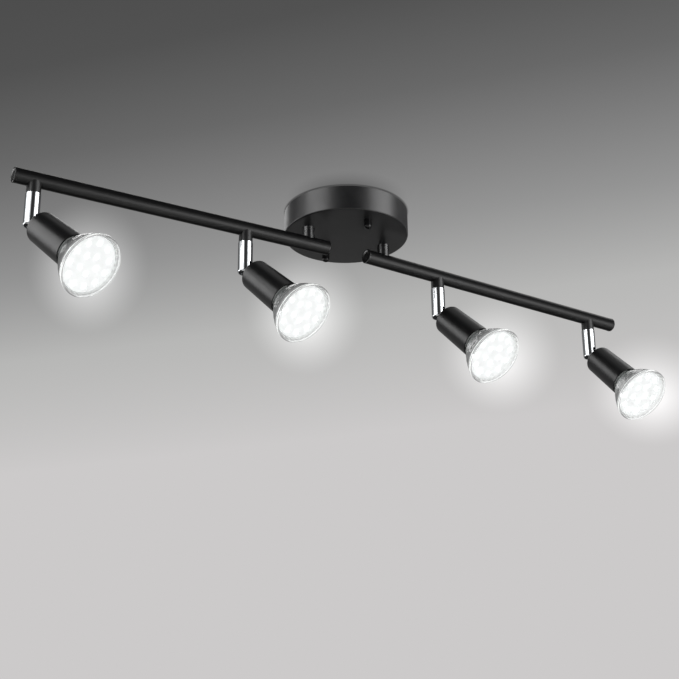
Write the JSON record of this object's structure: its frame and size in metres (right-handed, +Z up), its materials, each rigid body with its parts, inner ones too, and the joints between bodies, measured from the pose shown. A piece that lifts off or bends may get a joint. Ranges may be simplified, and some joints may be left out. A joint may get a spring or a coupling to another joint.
{
  "type": "track lighting fixture",
  "caption": "Ceiling spot bar with a round canopy, slim swinging tube arms, and black spot heads on chrome swivel stems, each with a bayonet reflector lamp.",
  "frame": {"origin": "centre of the round canopy on the ceiling plane, which is the bracket's top face and the canopy's rim", "axes": "+Z up into the ceiling; +X towards the right arm; the lamps face towards -Y and down at rest"},
  "size_m": [0.5885, 0.1247, 0.1457],
  "materials": {
    "black_canopy": "satin",
    "black_arm": "satin",
    "black_holder": "satin",
    "zinc_steel": "satin",
    "screw_steel": "satin",
    "chrome": "polished",
    "brass": "satin",
    "block_plastic": "satin",
    "wire_insulation": "satin",
    "end_cap_plastic": "satin",
    "socket_ceramic": "matte",
    "lamp_plastic": "satin",
    "lamp_glass": "gloss",
    "lamp_lens": "gloss",
    "led_board": "satin"
  },
  "bodies": {
    "root": {"canopy_shell": "black_canopy", "mounting_bracket": "zinc_steel", "canopy_studs": "zinc_steel", "cap_nuts": "black_canopy", "terminal_block": "block_plastic", "earth_screw": "brass"},
    "arm_left": {"arm_left_tube": "black_arm", "arm_left_end_caps": "end_cap_plastic", "arm_left_post": "black_arm", "arm_left_nipple": "zinc_steel", "arm_left_pivot_nut": "zinc_steel", "arm_left_collars": "black_arm", "arm_left_wires": "wire_insulation"},
    "arm_right": {"arm_right_tube": "black_arm", "arm_right_end_caps": "end_cap_plastic", "arm_right_post": "black_arm", "arm_right_nipple": "zinc_steel", "arm_right_pivot_nut": "zinc_steel", "arm_right_collars": "black_arm", "arm_right_wires": "wire_insulation"},
    "head_1_swivel": {"head_1_swivel_bolt": "zinc_steel", "head_1_stem": "chrome", "head_1_pivot_screw": "screw_steel"},
    "head_1_tilt": {"head_1_knuckle": "chrome", "head_1_holder": "black_holder", "head_1_socket": "socket_ceramic"},
    "head_1_lamp": {"head_1_lamp_base": "lamp_plastic", "head_1_lamp_glass": "lamp_glass", "head_1_lamp_lens": "lamp_lens", "head_1_led_board": "led_board"},
    "head_2_swivel": {"head_2_swivel_bolt": "zinc_steel", "head_2_stem": "chrome", "head_2_pivot_screw": "screw_steel"},
    "head_2_tilt": {"head_2_knuckle": "chrome", "head_2_holder": "black_holder", "head_2_socket": "socket_ceramic"},
    "head_2_lamp": {"head_2_lamp_base": "lamp_plastic", "head_2_lamp_glass": "lamp_glass", "head_2_lamp_lens": "lamp_lens", "head_2_led_board": "led_board"},
    "head_3_swivel": {"head_3_swivel_bolt": "zinc_steel", "head_3_stem": "chrome", "head_3_pivot_screw": "screw_steel"},
    "head_3_tilt": {"head_3_knuckle": "chrome", "head_3_holder": "black_holder", "head_3_socket": "socket_ceramic"},
    "head_3_lamp": {"head_3_lamp_base": "lamp_plastic", "head_3_lamp_glass": "lamp_glass", "head_3_lamp_lens": "lamp_lens", "head_3_led_board": "led_board"},
    "head_4_swivel": {"head_4_swivel_bolt": "zinc_steel", "head_4_stem": "chrome", "head_4_pivot_screw": "screw_steel"},
    "head_4_tilt": {"head_4_knuckle": "chrome", "head_4_holder": "black_holder", "head_4_socket": "socket_ceramic"},
    "head_4_lamp": {"head_4_lamp_base": "lamp_plastic", "head_4_lamp_glass": "lamp_glass", "head_4_lamp_lens": "lamp_lens", "head_4_led_board": "led_board"}
  },
  "joints": [
    {"name": "arm_left_swing", "type": "hinge", "parent": "root", "child": "arm_left", "pos_m": [-0.036, 0, -0.0353], "axis": [0, 0, 1], "range_deg": [-45, 45]},
    {"name": "arm_right_swing", "type": "hinge", "parent": "root", "child": "arm_right", "pos_m": [0.036, 0, -0.0353], "axis": [0, 0, 1], "range_deg": [-45, 45]},
    {"name": "head_1_swivel", "type": "hinge", "parent": "arm_left", "child": "head_1_swivel", "pos_m": [-0.2695, 0, -0.06905], "axis": [0, 0, 1], "range_deg": [-175, 175]},
    {"name": "head_1_tilt", "type": "hinge", "parent": "head_1_swivel", "child": "head_1_tilt", "pos_m": [-0.2695, 0, -0.06905], "axis": [-0.866, -0.5, 0], "range_deg": [-49, 41]},
    {"name": "head_1_lamp_twist", "type": "hinge", "parent": "head_1_tilt", "child": "head_1_lamp", "pos_m": [-0.2695, 0, -0.06905], "axis": [0.3774, -0.6536, -0.6561], "range_deg": [0, 30]},
    {"name": "head_2_swivel", "type": "hinge", "parent": "arm_left", "child": "head_2_swivel", "pos_m": [-0.0935, 0, -0.06905], "axis": [0, 0, 1], "range_deg": [-175, 175]},
    {"name": "head_2_tilt", "type": "hinge", "parent": "head_2_swivel", "child": "head_2_tilt", "pos_m": [-0.0935, 0, -0.06905], "axis": [-0.9063, -0.4226, 0], "range_deg": [-46.5, 43.5]},
    {"name": "head_2_lamp_twist", "type": "hinge", "parent": "head_2_tilt", "child": "head_2_lamp", "pos_m": [-0.0935, 0, -0.06905], "axis": [0.3066, -0.6574, -0.6884], "range_deg": [0, 30]},
    {"name": "head_3_swivel", "type": "hinge", "parent": "arm_right", "child": "head_3_swivel", "pos_m": [0.09332, 0.00451, -0.06905], "axis": [0, 0, 1], "range_deg": [-175, 175]},
    {"name": "head_3_tilt", "type": "hinge", "parent": "head_3_swivel", "child": "head_3_tilt", "pos_m": [0.09332, 0.00451, -0.06905], "axis": [-0.9563, -0.2924, 0], "range_deg": [-45, 45]},
    {"name": "head_3_lamp_twist", "type": "hinge", "parent": "head_3_tilt", "child": "head_3_lamp", "pos_m": [0.09332, 0.00451, -0.06905], "axis": [0.2067, -0.6762, -0.7071], "range_deg": [0, 30]},
    {"name": "head_4_swivel", "type": "hinge", "parent": "arm_right", "child": "head_4_swivel", "pos_m": [0.26878, 0.01832, -0.06905], "axis": [0, 0, 1], "range_deg": [-175, 175]},
    {"name": "head_4_tilt", "type": "hinge", "parent": "head_4_swivel", "child": "head_4_tilt", "pos_m": [0.26878, 0.01832, -0.06905], "axis": [-0.9877, -0.1564, 0], "range_deg": [-43.5, 46.5]},
    {"name": "head_4_lamp_twist", "type": "hinge", "parent": "head_4_tilt", "child": "head_4_lamp", "pos_m": [0.26878, 0.01832, -0.06905], "axis": [0.1077, -0.6799, -0.7254], "range_deg": [0, 30]}
  ]
}
